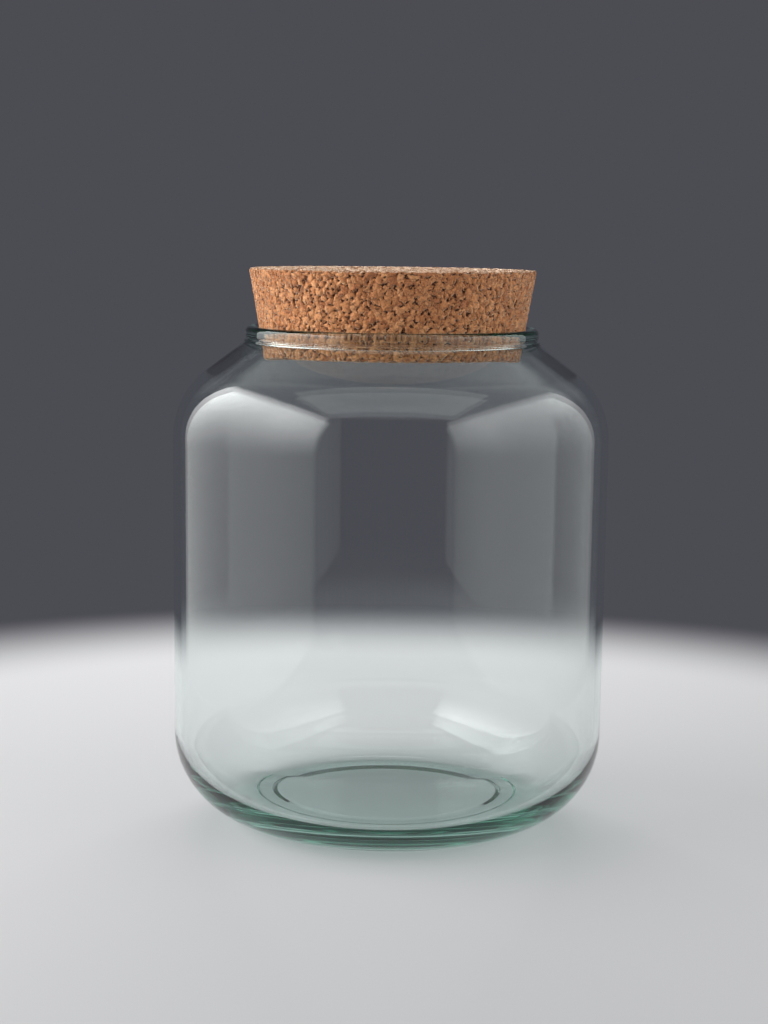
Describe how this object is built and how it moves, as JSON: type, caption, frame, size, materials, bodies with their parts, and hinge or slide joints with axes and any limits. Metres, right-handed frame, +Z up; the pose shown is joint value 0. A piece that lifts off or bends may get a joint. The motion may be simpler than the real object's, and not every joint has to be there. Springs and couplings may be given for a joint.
{
  "type": "glass storage jar with cork stopper",
  "caption": "Squat clear glass storage jar with rounded shoulder and heel and a beaded lip, closed by a tapered stopper of pressed cork granules that lifts out.",
  "frame": {"origin": "on the jar's axis, in the plane of the bearing ring that it stands on", "axes": "+Z up along the jar's axis, out of the mouth; the jar and the stopper are round about Z, so X and Y are free"},
  "size_m": [0.1749, 0.1748, 0.223],
  "materials": {
    "clear_glass": "gloss",
    "agglomerated_cork": "matte"
  },
  "bodies": {
    "jar": {"glass_jar": "clear_glass"},
    "stopper": {"cork_stopper": "agglomerated_cork"}
  },
  "joints": [
    {"name": "stopper_lift", "type": "slide", "parent": "jar", "child": "stopper", "axis": [0, 0, 1], "range_m": [0, 0.08]}
  ]
}
